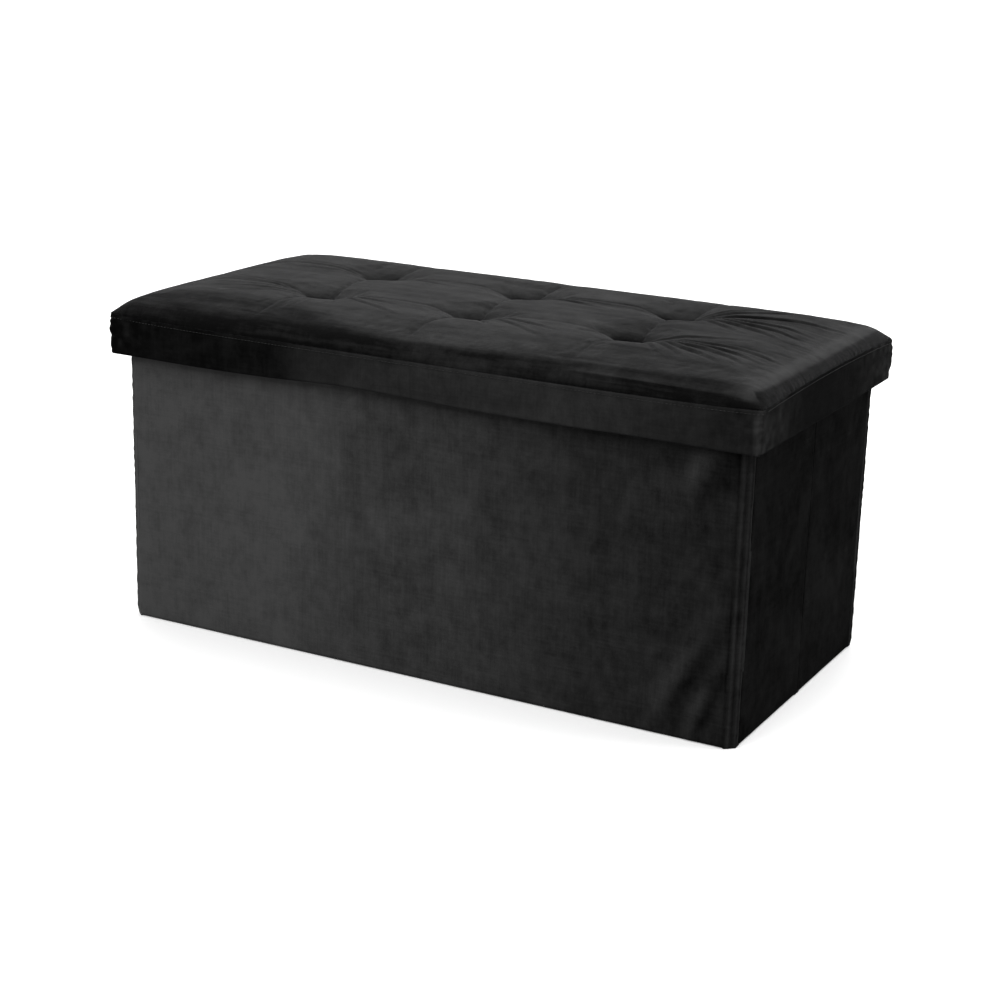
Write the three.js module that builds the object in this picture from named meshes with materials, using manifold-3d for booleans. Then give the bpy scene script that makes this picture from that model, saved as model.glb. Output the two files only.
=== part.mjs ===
// Folding storage ottoman: a fabric box with a tufted lift-off lid.
// Millimetres, +Z up, +X along the length, -Y towards the front.
// The origin is on the ground under the centre of the footprint.
import * as THREE from 'three';
import { mergeVertices } from 'three/addons/utils/BufferGeometryUtils.js';
import Module from 'manifold-3d';

const manifold = await Module();
manifold.setup();

// Driving dimensions
const lidLength = 760;
const lidDepth = 380;
const totalHeight = 380;
const baseLength = 732;
const baseDepth = 354;
const wallTop = 337.5;
const skirtBottom = 304;
const seamHeight = 347;
const gap = 0.3; // between pieces that touch

// Layers through a wall, from the outside in
const velvetThickness = 1.4;
const boardThickness = 5.4;
const liningThickness = 0.6;
const wallThickness = velvetThickness + boardThickness + liningThickness + 2 * gap;
const hemHeight = 5.7;
const boardSetback = 0.6; // the velvet stands this far above the board's top edge

// Folding base: the hinge lines of the four corners and the two end creases
const hingeX = 357;
const hingeY = 163.5;
const hingeGap = 0.5;
const cornerBandThickness = 2;

// Folding floor, hinged along the foot of the front wall
const floorNear = -168;
const floorSize = { x: 710, y: 330.7 };
const floorBottom = 0.8;
const floorBoardThickness = 2.4;
const floorClothThickness = 0.4;

// Lid
const skirtThickness = 1.2;
const railWidth = 9;
const railBottom = 309.6;
const deckThickness = 8.3;
const deckBottom = seamHeight - deckThickness;
const tuftSpacing = { x: 186, y: 123 };
const tuftColumns = [-1, 0, 1];
const tuftRows = [-0.5, 0.5];
const seatEdge = 350.5; // top of the cover's lip at the seam
const pitBottom = 351;
const pitRadius = 30;
const coverInset = 6; // how far the cover's side leans in around the foam
const seatCoverThickness = 1.5;
const buttonRadius = 8;
const buttonThickness = 3;
const buttonLift = 6.5; // from the bottom of the pit to the button's underside
const cordRadius = 1.4;
const cordHoleRadius = 2.2;
const anchorRadius = 4.2;
const anchorThickness = 2.4;
const anchorRecess = { radius: 5.5, depth: 3.2 };

function makeMaterial(colour, roughness, metalness = 0) {
  return new THREE.MeshStandardMaterial({ color: colour, roughness, metalness });
}

const velvet = makeMaterial(0x1f1f20, 0.85);
const fibreboard = makeMaterial(0xa98a63, 0.75);
const liningCloth = makeMaterial(0x19191a, 0.95);
const foam = makeMaterial(0xe4ddc6, 0.9);
const twine = makeMaterial(0x222222, 0.8);

const ottoman = new THREE.Group();

function addMesh(parent, name, geometry, material) {
  const mesh = new THREE.Mesh(geometry, material);
  mesh.name = name;
  parent.add(mesh);
  return mesh;
}

// A box between two opposite corners.
function addSlab(parent, name, low, high, material) {
  const size = low.map((value, axis) => high[axis] - value);
  const mesh = addMesh(parent, name, new THREE.BoxGeometry(...size), material);
  mesh.position.set(...low.map((value, axis) => value + size[axis] / 2));
  return mesh;
}

// Booleans: closed three.js meshes to solids and back.
function toSolid(geometry) {
  const bare = new THREE.BufferGeometry();
  bare.setAttribute('position', geometry.getAttribute('position').clone());
  bare.setIndex(geometry.index ? geometry.index.clone() : null);
  const merged = mergeVertices(bare, 1e-5);
  return new manifold.Manifold(new manifold.Mesh({
    numProp: 3,
    vertProperties: new Float32Array(merged.getAttribute('position').array),
    triVerts: new Uint32Array(merged.index.array),
  }));
}

function toGeometry(solid) {
  const mesh = solid.getMesh();
  const geometry = new THREE.BufferGeometry();
  geometry.setAttribute('position', new THREE.BufferAttribute(mesh.vertProperties, 3));
  geometry.setIndex(new THREE.BufferAttribute(mesh.triVerts, 1));
  return geometry;
}

// An upright round bar, for drilling the tuft holes.
function uprightBar(x, y, radius, bottom, top) {
  const bar = new THREE.CylinderGeometry(radius, radius, top - bottom, 12);
  bar.rotateX(Math.PI / 2);
  bar.translate(x, y, (bottom + top) / 2);
  return toSolid(bar);
}

const tufts = tuftRows.flatMap((row, rowIndex) => tuftColumns.map((column, columnIndex) => ({
  name: `${['front', 'back'][rowIndex]}_${['left', 'middle', 'right'][columnIndex]}`,
  x: column * tuftSpacing.x,
  y: row * tuftSpacing.y,
})));

// A wall panel stands along local +X with its outside at local y = 0 and its inside at +y.
// Velvet outside, board, lining inside, and a soft hem under all three.
function addWallPanel(name, length) {
  const panel = new THREE.Group();
  const boardFace = velvetThickness + gap;
  const liningFace = boardFace + boardThickness + gap;
  const foot = hemHeight + gap;
  const boardTop = wallTop - boardSetback;
  addSlab(panel, `${name}_cover`, [0, 0, foot], [length, velvetThickness, wallTop], velvet);
  addSlab(panel, `${name}_board`, [0, boardFace, foot],
    [length, boardFace + boardThickness, boardTop], fibreboard);
  addSlab(panel, `${name}_lining`, [0, liningFace, foot], [length, wallThickness, boardTop], liningCloth);
  addSlab(panel, `${name}_hem`, [0, 0, 0], [length, wallThickness, hemHeight], velvet);
  ottoman.add(panel);
  return panel;
}

function placePanel(panel, x, y, degrees) {
  panel.position.set(x, y, 0);
  panel.rotation.z = THREE.MathUtils.degToRad(degrees);
}

function addWalls() {
  const endX = baseLength / 2;
  const sideY = baseDepth / 2;
  const halfLength = hingeY - 2 * hingeGap;
  placePanel(addWallPanel('front_wall', 2 * hingeX), -hingeX, -sideY, 0);
  placePanel(addWallPanel('back_wall', 2 * hingeX), hingeX, sideY, 180);
  placePanel(addWallPanel('right_front_half', halfLength), endX, hingeGap - hingeY, 90);
  placePanel(addWallPanel('right_rear_half', halfLength), endX, hingeGap, 90);
  placePanel(addWallPanel('left_rear_half', halfLength), -endX, hingeY - hingeGap, -90);
  placePanel(addWallPanel('left_front_half', halfLength), -endX, -hingeGap, -90);
}

// The velvet that turns each corner, without a board behind it, so that the corner can hinge.
function addCornerBands() {
  const inner = hingeX + gap;
  const outer = baseLength / 2;
  const front = -baseDepth / 2;
  const end = -hingeY - gap;
  const thin = cornerBandThickness;
  const lap = { front: 1, end: 2, inside: 1.2 };
  const outline = [
    [inner, front], [inner + lap.front, front], [outer, end - lap.end], [outer, end],
    [outer - thin, end], [outer - thin, end - lap.inside], [inner, front + thin + lap.front],
  ];
  for (const [rear, turnY] of [['front', 1], ['back', -1]]) {
    for (const [side, turnX] of [['left', -1], ['right', 1]]) {
      const points = outline.map(([x, y]) => new THREE.Vector2(x * turnX, y * turnY));
      const band = new THREE.ExtrudeGeometry(new THREE.Shape(points), {
        depth: wallTop,
        bevelEnabled: false,
      });
      addMesh(ottoman, `${rear}_${side}_corner_band`, band, velvet);
    }
  }
}

function addFloor() {
  const near = floorNear + gap;
  const far = near + floorSize.y;
  const half = floorSize.x / 2;
  const boardBottom = floorBottom + floorClothThickness + gap;
  const boardTop = boardBottom + floorBoardThickness;
  const clothTop = boardTop + gap + floorClothThickness;
  addSlab(ottoman, 'floor_under_cloth', [-half, near, floorBottom],
    [half, far, floorBottom + floorClothThickness], liningCloth);
  const inset = 1;
  addSlab(ottoman, 'floor_board', [inset - half, near + inset, boardBottom],
    [half - inset, far - inset, boardTop], fibreboard);
  addSlab(ottoman, 'floor_top_cloth', [-half, near, boardTop + gap], [half, far, clothTop], liningCloth);
  const tab = { width: 40, length: 42, inset: 4, thickness: 0.6 };
  addSlab(ottoman, 'floor_pull_tab', [-tab.width / 2, far - tab.inset - tab.length, clothTop + gap],
    [tab.width / 2, far - tab.inset, clothTop + gap + tab.thickness], velvet);
}

function addLidFrame() {
  const outerX = lidLength / 2 - skirtThickness - gap;
  const outerY = lidDepth / 2 - skirtThickness - gap;
  const innerX = outerX - railWidth;
  const innerY = outerY - railWidth;
  const railTop = deckBottom - gap;
  addSlab(ottoman, 'lid_front_rail', [-outerX, -outerY, railBottom], [outerX, -innerY, railTop], fibreboard);
  addSlab(ottoman, 'lid_back_rail', [-outerX, innerY, railBottom], [outerX, outerY, railTop], fibreboard);
  addSlab(ottoman, 'lid_left_rail', [-outerX, gap - innerY, railBottom],
    [-innerX, innerY - gap, railTop], fibreboard);
  addSlab(ottoman, 'lid_right_rail', [innerX, gap - innerY, railBottom],
    [outerX, innerY - gap, railTop], fibreboard);
  addSlab(ottoman, 'lid_lining', [gap - innerX, gap - innerY, deckBottom - gap - liningThickness],
    [innerX - gap, innerY - gap, deckBottom - gap], liningCloth);

  const deckBox = new THREE.BoxGeometry(2 * outerX, 2 * outerY, deckThickness);
  deckBox.translate(0, 0, deckBottom + deckThickness / 2);
  let deck = toSolid(deckBox);
  for (const { x, y } of tufts) {
    deck = deck.subtract(uprightBar(x, y, cordHoleRadius, deckBottom - 1, seamHeight + 1));
    deck = deck.subtract(uprightBar(x, y, anchorRecess.radius, deckBottom - 1,
      deckBottom + anchorRecess.depth));
  }
  addMesh(ottoman, 'lid_deck_board', toGeometry(deck), fibreboard);
}

// The side band of the lid is four panels of velvet, seamed at the corners.
function addSkirt() {
  const outerX = lidLength / 2;
  const outerY = lidDepth / 2;
  const endY = outerY - skirtThickness - gap;
  for (const [side, turn] of [['front', -1], ['back', 1]]) {
    const edges = [turn * outerY, turn * (outerY - skirtThickness)].sort((a, b) => a - b);
    addSlab(ottoman, `${side}_skirt`, [-outerX, edges[0], skirtBottom],
      [outerX, edges[1], seamHeight], velvet);
  }
  for (const [side, turn] of [['left', -1], ['right', 1]]) {
    const edges = [turn * outerX, turn * (outerX - skirtThickness)].sort((a, b) => a - b);
    addSlab(ottoman, `${side}_skirt`, [edges[0], -endY, skirtBottom], [edges[1], endY, seamHeight], velvet);
  }
}

// Height of the seat cover: a crowned pad that falls to a short lip at the seam, with a pit
// at each tuft. With a and b the half length and half depth, it is
// edge + rise * sqrt((1 - |x/a|^8) * (1 - |y/b|^4)) - sum of pitDepth / (1 + (r/pitRadius)^2)^2
function seatHeight(x, y) {
  const alongX = 1 - Math.abs(2 * x / lidLength) ** 8;
  const alongY = 1 - Math.abs(2 * y / lidDepth) ** 4;
  const rise = (totalHeight - seatEdge) * Math.sqrt(Math.max(alongX * alongY, 0));
  const pits = tufts.reduce((sum, tuft) => {
    const ratio = Math.hypot(x - tuft.x, y - tuft.y) / pitRadius;
    return sum + (totalHeight - pitBottom) / (1 + ratio * ratio) ** 2;
  }, 0);
  return Math.max(seatEdge + rise - pits, seatEdge);
}

// Grid lines across the seat: close together around the tufts and towards the edges.
// They stop short of the edge by inset, and every layer of the seat shares the rest.
function seatLines(places, half, inset) {
  const around = places.flatMap((place) => [-26, -12, 0, 12, 26].map((offset) => place + offset));
  const between = places.slice(1).map((place, index) => (place + places[index]) / 2);
  const edge = [90, 45, 20, coverInset, 0].filter((step) => step > inset).concat(inset);
  const right = edge.map((step) => half - step);
  return [...around, ...between, ...right, ...right.map((place) => -place)].sort((a, b) => a - b);
}

// A closed solid between two height functions over a grid of x and y lines.
function heightSolid(xLines, yLines, top, bottom) {
  const columns = xLines.length;
  const rows = yLines.length;
  const positions = [];
  for (const surface of [top, bottom]) {
    for (const y of yLines) {
      for (const x of xLines) positions.push(x, y, surface(x, y));
    }
  }
  const faces = [];
  const addQuad = (a, b, c, d) => faces.push(a, b, c, a, c, d);
  const under = rows * columns;
  for (let row = 0; row < rows - 1; row += 1) {
    for (let column = 0; column < columns - 1; column += 1) {
      const a = row * columns + column;
      addQuad(a, a + 1, a + columns + 1, a + columns);
      addQuad(under + a, under + a + columns, under + a + columns + 1, under + a + 1);
    }
  }
  for (let column = 0; column < columns - 1; column += 1) {
    const last = (rows - 1) * columns + column;
    addQuad(column, under + column, under + column + 1, column + 1);
    addQuad(last, last + 1, under + last + 1, under + last);
  }
  for (let row = 0; row < rows - 1; row += 1) {
    const a = row * columns;
    const b = a + columns - 1;
    addQuad(a, a + columns, under + a + columns, under + a);
    addQuad(b, under + b, under + b + columns, b + columns);
  }
  const geometry = new THREE.BufferGeometry();
  geometry.setAttribute('position', new THREE.Float32BufferAttribute(positions, 3));
  geometry.setIndex(faces);
  return geometry;
}

function drillTufts(solid) {
  return tufts.reduce((drilled, { x, y }) => (
    drilled.subtract(uprightBar(x, y, cordHoleRadius, seamHeight - 1, totalHeight))
  ), solid);
}

// The foam pad, and the velvet cover as a thin cap over it that is open below.
function addSeat() {
  const floor = seamHeight + gap;
  const layer = (inset, drop, lowest, base) => heightSolid(
    seatLines(tuftColumns.map((column) => column * tuftSpacing.x), lidLength / 2, inset),
    seatLines(tuftRows.map((row) => row * tuftSpacing.y), lidDepth / 2, inset),
    (x, y) => Math.max(seatHeight(x, y) - drop, lowest),
    () => base,
  );
  const cover = toSolid(layer(0, 0, seatEdge, floor));
  const hollow = toSolid(layer(coverInset, seatCoverThickness, floor + 1, floor - 1));
  addMesh(ottoman, 'seat_cover', toGeometry(drillTufts(cover.subtract(hollow))), velvet);
  const pad = toSolid(layer(coverInset + gap, seatCoverThickness + 2 * gap, floor + 0.5, floor));
  addMesh(ottoman, 'seat_foam', toGeometry(drillTufts(pad)), foam);
}

// Each tuft: a covered button in its pit and a cord down to an anchor let into the deck.
function addTufts() {
  const buttonProfile = [
    [0, 0], [0.8 * buttonRadius, 0], [buttonRadius, 0.35 * buttonThickness],
    [0.8 * buttonRadius, 0.8 * buttonThickness], [0, buttonThickness],
  ];
  const anchorBottom = deckBottom + gap;
  const anchorTop = anchorBottom + anchorThickness;
  for (const { name, x, y } of tufts) {
    const buttonBottom = seatHeight(x, y) + buttonLift;
    const cordTop = buttonBottom - gap;
    const cordProfile = [
      [0, anchorBottom], [anchorRadius, anchorBottom], [anchorRadius, anchorTop],
      [cordRadius, anchorTop], [cordRadius, cordTop], [0, cordTop],
    ];
    const button = turnedSolid(buttonProfile, 16);
    addMesh(ottoman, `${name}_button`, button, velvet).position.set(x, y, buttonBottom);
    const cord = turnedSolid(cordProfile, 10);
    addMesh(ottoman, `${name}_tie_cord`, cord, twine).position.set(x, y, 0);
  }
}

// A turned solid about +Z from a profile of [radius, height] points that runs from bottom to top.
function turnedSolid(profile, segments) {
  const geometry = new THREE.LatheGeometry(profile.map(([r, z]) => new THREE.Vector2(r, z)), segments);
  geometry.rotateX(Math.PI / 2);
  return geometry;
}

addWalls();
addCornerBands();
addFloor();
addLidFrame();
addSkirt();
addSeat();
addTufts();

export default ottoman;
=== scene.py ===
import math

import bpy
import numpy as np
from mathutils import Matrix, Vector


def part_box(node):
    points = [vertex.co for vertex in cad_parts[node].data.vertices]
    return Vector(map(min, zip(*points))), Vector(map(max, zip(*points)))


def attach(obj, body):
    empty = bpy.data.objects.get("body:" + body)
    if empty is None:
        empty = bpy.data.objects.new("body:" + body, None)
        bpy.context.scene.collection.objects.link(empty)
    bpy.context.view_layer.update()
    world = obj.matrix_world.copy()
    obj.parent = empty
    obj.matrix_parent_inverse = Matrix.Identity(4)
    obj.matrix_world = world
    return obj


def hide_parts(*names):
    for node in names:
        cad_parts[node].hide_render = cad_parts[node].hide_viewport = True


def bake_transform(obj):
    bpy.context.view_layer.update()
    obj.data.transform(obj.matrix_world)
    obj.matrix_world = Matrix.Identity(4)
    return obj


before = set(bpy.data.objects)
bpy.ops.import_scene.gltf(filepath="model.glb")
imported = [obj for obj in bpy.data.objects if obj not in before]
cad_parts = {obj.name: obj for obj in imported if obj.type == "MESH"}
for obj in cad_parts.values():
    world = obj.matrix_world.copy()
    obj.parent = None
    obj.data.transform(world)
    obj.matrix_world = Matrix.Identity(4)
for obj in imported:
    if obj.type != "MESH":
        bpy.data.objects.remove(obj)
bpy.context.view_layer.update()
mm = 0.001


def corners(node):
    low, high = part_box(node)
    return np.array(low), np.array(high)


print("frame loaded:", len(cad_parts), "nodes")

# Camera, light and floor.
camera = {
    "place": (1.0398, -1.9461, 0.8170),
    "yaw": -27.96,  # degrees from +Y, negative towards -X
    "pitch": -16.77,
    "roll": 1.57,
    "lens": 74.70,
}
lights = {
    "floorShade": 0.95,  # what the camera sees
    "floorGlow": 0.28,
    "floorBounce": 0.30,  # what the object is lit by
    "skyForLight": 0.22,
    "key": {"from": (-0.45, -0.95, 1.15), "spread": 50, "strength": 2.0},  # spread in degrees
    "top": {"from": (0.05, 0.75, 1.60), "spread": 60, "strength": 2.5},
    "rim": {"from": (1.0, 0.35, 0.55), "spread": 16, "strength": 0.5},
}


def makeCamera():
    yaw, pitch, roll = (math.radians(camera[key]) for key in ("yaw", "pitch", "roll"))
    ahead = Vector((math.sin(yaw) * math.cos(pitch), math.cos(yaw) * math.cos(pitch), math.sin(pitch)))
    right = ahead.cross(Vector((0, 0, 1))).normalized()
    up = right.cross(ahead)
    turnedRight = math.cos(roll) * right + math.sin(roll) * up
    turnedUp = math.cos(roll) * up - math.sin(roll) * right
    data = bpy.data.cameras.new("camera")
    data.sensor_width = 36
    data.lens = camera["lens"]
    thing = bpy.data.objects.new("camera", data)
    bpy.context.scene.collection.objects.link(thing)
    axes = Matrix((turnedRight, turnedUp, -ahead)).transposed()
    thing.matrix_world = Matrix.Translation(camera["place"]) @ axes.to_4x4()
    bpy.context.scene.camera = thing


def makeLight(name, place, spread, strength):
    data = bpy.data.lights.new(name, "SUN")
    data.angle = math.radians(spread)
    data.energy = strength
    thing = bpy.data.objects.new(name, data)
    bpy.context.scene.collection.objects.link(thing)
    thing.location = place
    thing.rotation_euler = (-Vector(place)).to_track_quat("-Z", "Y").to_euler()


def makeStage():
    # the sky looks white but lights the object only softly
    world = bpy.data.worlds.new("studio")
    bpy.context.scene.world = world
    world.use_nodes = True
    nodes, links = world.node_tree.nodes, world.node_tree.links
    background = nodes["Background"]
    path = nodes.new("ShaderNodeLightPath")
    strength = nodes.new("ShaderNodeMapRange")
    strength.inputs["To Min"].default_value = lights["skyForLight"]
    strength.inputs["To Max"].default_value = 1.0
    background.inputs["Color"].default_value = (1, 1, 1, 1)
    links.new(path.outputs["Is Camera Ray"], strength.inputs["Value"])
    links.new(strength.outputs["Result"], background.inputs["Strength"])
    for name in ("key", "top", "rim"):
        makeLight(name, lights[name]["from"], lights[name]["spread"], lights[name]["strength"])
    half = 30.0
    mesh = bpy.data.meshes.new("floor")
    mesh.from_pydata([(-half, -half, 0), (half, -half, 0), (half, half, 0), (-half, half, 0)], [],
                     [(0, 1, 2, 3)])
    floor = bpy.data.objects.new("floor_plane", mesh)
    bpy.context.scene.collection.objects.link(floor)
    material = bpy.data.materials.new("paleFloor")
    material.use_nodes = True
    nodes, links = material.node_tree.nodes, material.node_tree.links
    shader = nodes["Principled BSDF"]
    shader.inputs["Roughness"].default_value = 0.9
    shader.inputs["Specular IOR Level"].default_value = 0.0
    shader.inputs["Emission Color"].default_value = (1, 1, 1, 1)
    path = nodes.new("ShaderNodeLightPath")
    glow = nodes.new("ShaderNodeMath")
    glow.operation = "MULTIPLY"
    glow.inputs[1].default_value = lights["floorGlow"]
    shade = nodes.new("ShaderNodeMapRange")
    shade.inputs["To Min"].default_value = lights["floorBounce"]
    shade.inputs["To Max"].default_value = lights["floorShade"]
    links.new(path.outputs["Is Camera Ray"], glow.inputs[0])
    links.new(path.outputs["Is Camera Ray"], shade.inputs["Value"])
    links.new(glow.outputs["Value"], shader.inputs["Emission Strength"])
    links.new(shade.outputs["Result"], shader.inputs["Base Color"])
    mesh.materials.append(material)


makeCamera()
makeStage()
bpy.context.scene.view_settings.view_transform = "Standard"
print("camera and lights done")


# Materials.
class Graph:
    # a material with a Principled shader, and short ways to add nodes to it

    def __init__(self, name):
        self.material = bpy.data.materials.new(name)
        self.material.use_nodes = True
        self.nodes = self.material.node_tree.nodes
        self.links = self.material.node_tree.links
        self.shader = self.nodes["Principled BSDF"]
        self.place = self.add("ShaderNodeTexCoord").outputs["Object"]

    def add(self, kind, **values):
        node = self.nodes.new(kind)
        for key, value in values.items():
            setattr(node, key, value)
        return node

    def stretched(self, scale):
        mapping = self.add("ShaderNodeMapping")
        mapping.inputs["Scale"].default_value = scale
        self.links.new(self.place, mapping.inputs["Vector"])
        return mapping.outputs["Vector"]

    def noise(self, scale, detail=3.0, vector=None, roughness=0.5, distortion=0.0):
        node = self.add("ShaderNodeTexNoise")
        node.inputs["Scale"].default_value = scale
        node.inputs["Detail"].default_value = detail
        node.inputs["Roughness"].default_value = roughness
        node.inputs["Distortion"].default_value = distortion
        self.links.new(vector or self.place, node.inputs["Vector"])
        return node.outputs["Fac"]

    def math(self, operation, first, second):
        node = self.add("ShaderNodeMath", operation=operation)
        for socket, value in zip(node.inputs, (first, second)):
            if isinstance(value, (int, float)):
                socket.default_value = value
            else:
                self.links.new(value, socket)
        return node.outputs["Value"]

    def spread(self, value, low, high, toLow=0.0, toHigh=1.0):
        node = self.add("ShaderNodeMapRange")
        for key, number in zip(("From Min", "From Max", "To Min", "To Max"), (low, high, toLow, toHigh)):
            node.inputs[key].default_value = number
        self.links.new(value, node.inputs["Value"])
        return node.outputs["Result"]

    def ramp(self, value, stops, low, high):
        # brightness along a line, eased between (place, brightness) stops
        node = self.add("ShaderNodeValToRGB")
        self.links.new(value, node.inputs["Fac"])
        node.color_ramp.interpolation = "EASE"
        elements = node.color_ramp.elements
        while len(elements) < len(stops):
            elements.new(0.5)
        for element, (place, tone) in zip(elements, stops):
            element.position = (place - low) / (high - low)
        for element, (place, tone) in zip(elements, stops):
            element.color = (tone, tone, tone, 1)
        return node.outputs["Color"]

    def mix(self, share, first, second):
        node = self.add("ShaderNodeMix", data_type="RGBA")
        self.links.new(share, node.inputs[0])
        for socket, value in ((node.inputs[6], first), (node.inputs[7], second)):
            if isinstance(value, tuple):
                socket.default_value = (*value, 1)
            else:
                self.links.new(value, socket)
        return node.outputs[2]

    def bump(self, height, distance, strength=1.0, below=None):
        node = self.add("ShaderNodeBump")
        node.inputs["Distance"].default_value = distance
        node.inputs["Strength"].default_value = strength
        self.links.new(height, node.inputs["Height"])
        if below is not None:
            self.links.new(below, node.inputs["Normal"])
        return node.outputs["Normal"]

    def finish(self, colour, roughness, normal=None, **fixed):
        for value, key in ((colour, "Base Color"), (roughness, "Roughness"), (normal, "Normal")):
            if isinstance(value, (int, float)):
                self.shader.inputs[key].default_value = value
            elif value is not None:
                self.links.new(value, self.shader.inputs[key])
        for key, value in fixed.items():
            self.shader.inputs[key].default_value = value
        return self.material


velvetLook = {
    # the ramp along X, as (place, brightness) pairs: the pile's tone with painted light and shade on it, for
    # how the lights and the sheen fall; the ramp up Z, as a share of it: painted shade low down; "tilt": how
    # much brighter it is on slopes facing the light
    "seat": {"dark": 0.003, "light": 0.046, "sheen": 0.14, "patches": 0.7, "mottle": 1.1, "streaks": 1.0,
             "tilt": 0.25, "shadeStrength": 0.95,  # how strongly the painted shade darkens the pile: in the tuft pits, low on the sides, in a front left patch and in fold valleys
             # painted light and shade: a painted highlight along the round right end of the pad (0.352 to
             # 0.368), painted shade on the steep right side past it; up Z, painted shade low on the round
             # edge near the seam
             "toneAndPaintedLight": ((-0.38, 0.45), (-0.25, 0.57), (0.05, 0.51), (0.335, 0.33), (0.352, 0.50), (0.362, 0.80),
                     (0.368, 0.80), (0.3765, 0.12)),
             "paintedShadeUpZ": ((0.345, 0.35), (0.360, 0.76), (0.372, 1.0))},
    "skirt": {"dark": 0.002, "light": 0.046, "sheen": 0.02, "patches": 1.0, "mottle": 0.85, "tilt": 0.9,
              # painted light and shade: dark at the left, lighter in the middle, a painted highlight on the
              # right corners (0.378 to 0.3796) and painted shade on the right end
              "toneAndPaintedLight": ((-0.379, 0.06), (-0.18, 0.09), (-0.10, 0.38), (-0.03, 0.57), (0.12, 0.63),
                      (0.372, 0.28), (0.3782, 0.85), (0.3796, 0.75), (0.380, 0.0))},
    "front": {"dark": 0.003, "light": 0.079, "sheen": 0.04, "patches": 0.55, "mottle": 0.95, "tilt": 0.7,
              # painted light and shade: lighter at the left where the key light falls, darker to the right,
              # with painted highlights on the two ridges of the right corner bands (0.3603, 0.3657)
              "toneAndPaintedLight": ((-0.38, 0.96), (-0.2, 0.88), (0.02, 0.54), (0.24, 0.23), (0.350, 0.16), (0.3575, 0.08),
                      (0.3603, 0.42), (0.363, 0.04), (0.3657, 0.36), (0.368, 0.08))},
    # a much darker copy of the velvet, without sheen: painted shade for the ends, which face away from the
    # key light
    "end": {"dark": 0.001, "light": 0.021, "sheen": 0.0, "patches": 1.3, "mottle": 1.9, "tilt": 0.8,
            "toneAndPaintedLight": ((-0.38, 0.26), (0.38, 0.26))},
}


def velvetMaterial(name, look):
    # short pile: broad patches where the nap lies another way, faint upright and level weave
    # traces, and a fine pile grain in the bump
    graph = Graph(name)
    patches = graph.noise(9.0, 6.0, distortion=0.8, roughness=0.62)
    brushed = graph.noise(60.0, 6.0, graph.stretched((1.0, 1.0, 0.75)), roughness=0.72)
    upright = graph.noise(420.0, 2.0, graph.stretched((1.0, 1.0, 0.05)))
    level = graph.noise(420.0, 2.0, graph.stretched((0.05, 0.05, 1.0)))
    grain = graph.noise(2600.0, 2.0)
    along = graph.add("ShaderNodeSeparateXYZ")
    graph.links.new(graph.place, along.inputs["Vector"])
    half = 0.38
    # painted light and shade: the look's ramp along X, then its ramp up Z; the noises further down are the
    # velvet's own mottling
    toneAndPaintedLight = graph.ramp(graph.spread(along.outputs["X"], -half, half), look["toneAndPaintedLight"], -half, half)
    if "paintedShadeUpZ" in look:
        low, high = look["paintedShadeUpZ"][0][0], look["paintedShadeUpZ"][-1][0]
        upward = graph.ramp(graph.spread(along.outputs["Z"], low, high), look["paintedShadeUpZ"], low, high)
        toneAndPaintedLight = graph.math("MULTIPLY", toneAndPaintedLight, upward)
    # painted light: brighter on slopes turned to the light, darker on slopes turned away, read from the tilt
    # attribute
    tilt = graph.add("ShaderNodeAttribute", attribute_name="tilt").outputs["Fac"]
    toneAndPaintedLight = graph.math("ADD", toneAndPaintedLight, graph.spread(tilt, -1.0, 1.0, -look["tilt"], look["tilt"]))
    # painted shade from the shade attribute: darker in tuft pits, low on the sides, in a front left patch and
    # in fold valleys; lighter on fold ridges, a painted highlight
    if "shadeStrength" in look:
        paintedShading = graph.add("ShaderNodeAttribute", attribute_name="paintedShading").outputs["Fac"]
        remaining = graph.spread(paintedShading, -1.0, 1.0, 1 + look["shadeStrength"], 1 - look["shadeStrength"])
        toneAndPaintedLight = graph.math("MULTIPLY", toneAndPaintedLight, remaining)
    if "streaks" in look:
        streaks = graph.noise(70.0, 4.0, graph.stretched((0.10, 1.0, 1.0)), roughness=0.6)
        reach = 0.25 * look["streaks"]
        toneAndPaintedLight = graph.math("ADD", toneAndPaintedLight, graph.spread(streaks, 0.25, 0.75, -reach, reach))
    room = graph.spread(toneAndPaintedLight, 0.0, 0.6, 0.4, 1.0)  # dark pile shows less of the noise
    noises = ((patches, look["patches"]), (brushed, 0.9), (upright, 0.22), (level, 0.22), (grain, 0.35))
    for value, share in noises:
        reach = 0.25 * share * look["mottle"]
        some = graph.spread(value, 0.25, 0.75, -reach, reach)
        toneAndPaintedLight = graph.math("ADD", toneAndPaintedLight, graph.math("MULTIPLY", some, room))
    dark, light = (tuple([look[key]] * 3) for key in ("dark", "light"))
    colour = graph.mix(toneAndPaintedLight, dark, light)
    pile = graph.bump(grain, 0.0004, 0.6)
    weave = graph.bump(graph.math("ADD", upright, level), 0.00035, 0.35, pile)
    dents = graph.bump(brushed, 0.0014, 0.35, weave)
    return graph.finish(colour, graph.spread(patches, 0.3, 0.7, 0.78, 0.92), dents, **{
        "Specular IOR Level": 0.03,
        "Sheen Weight": look["sheen"],
        "Sheen Roughness": 0.35,
        "Sheen Tint": (0.80, 0.80, 0.82, 1),
    })


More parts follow.
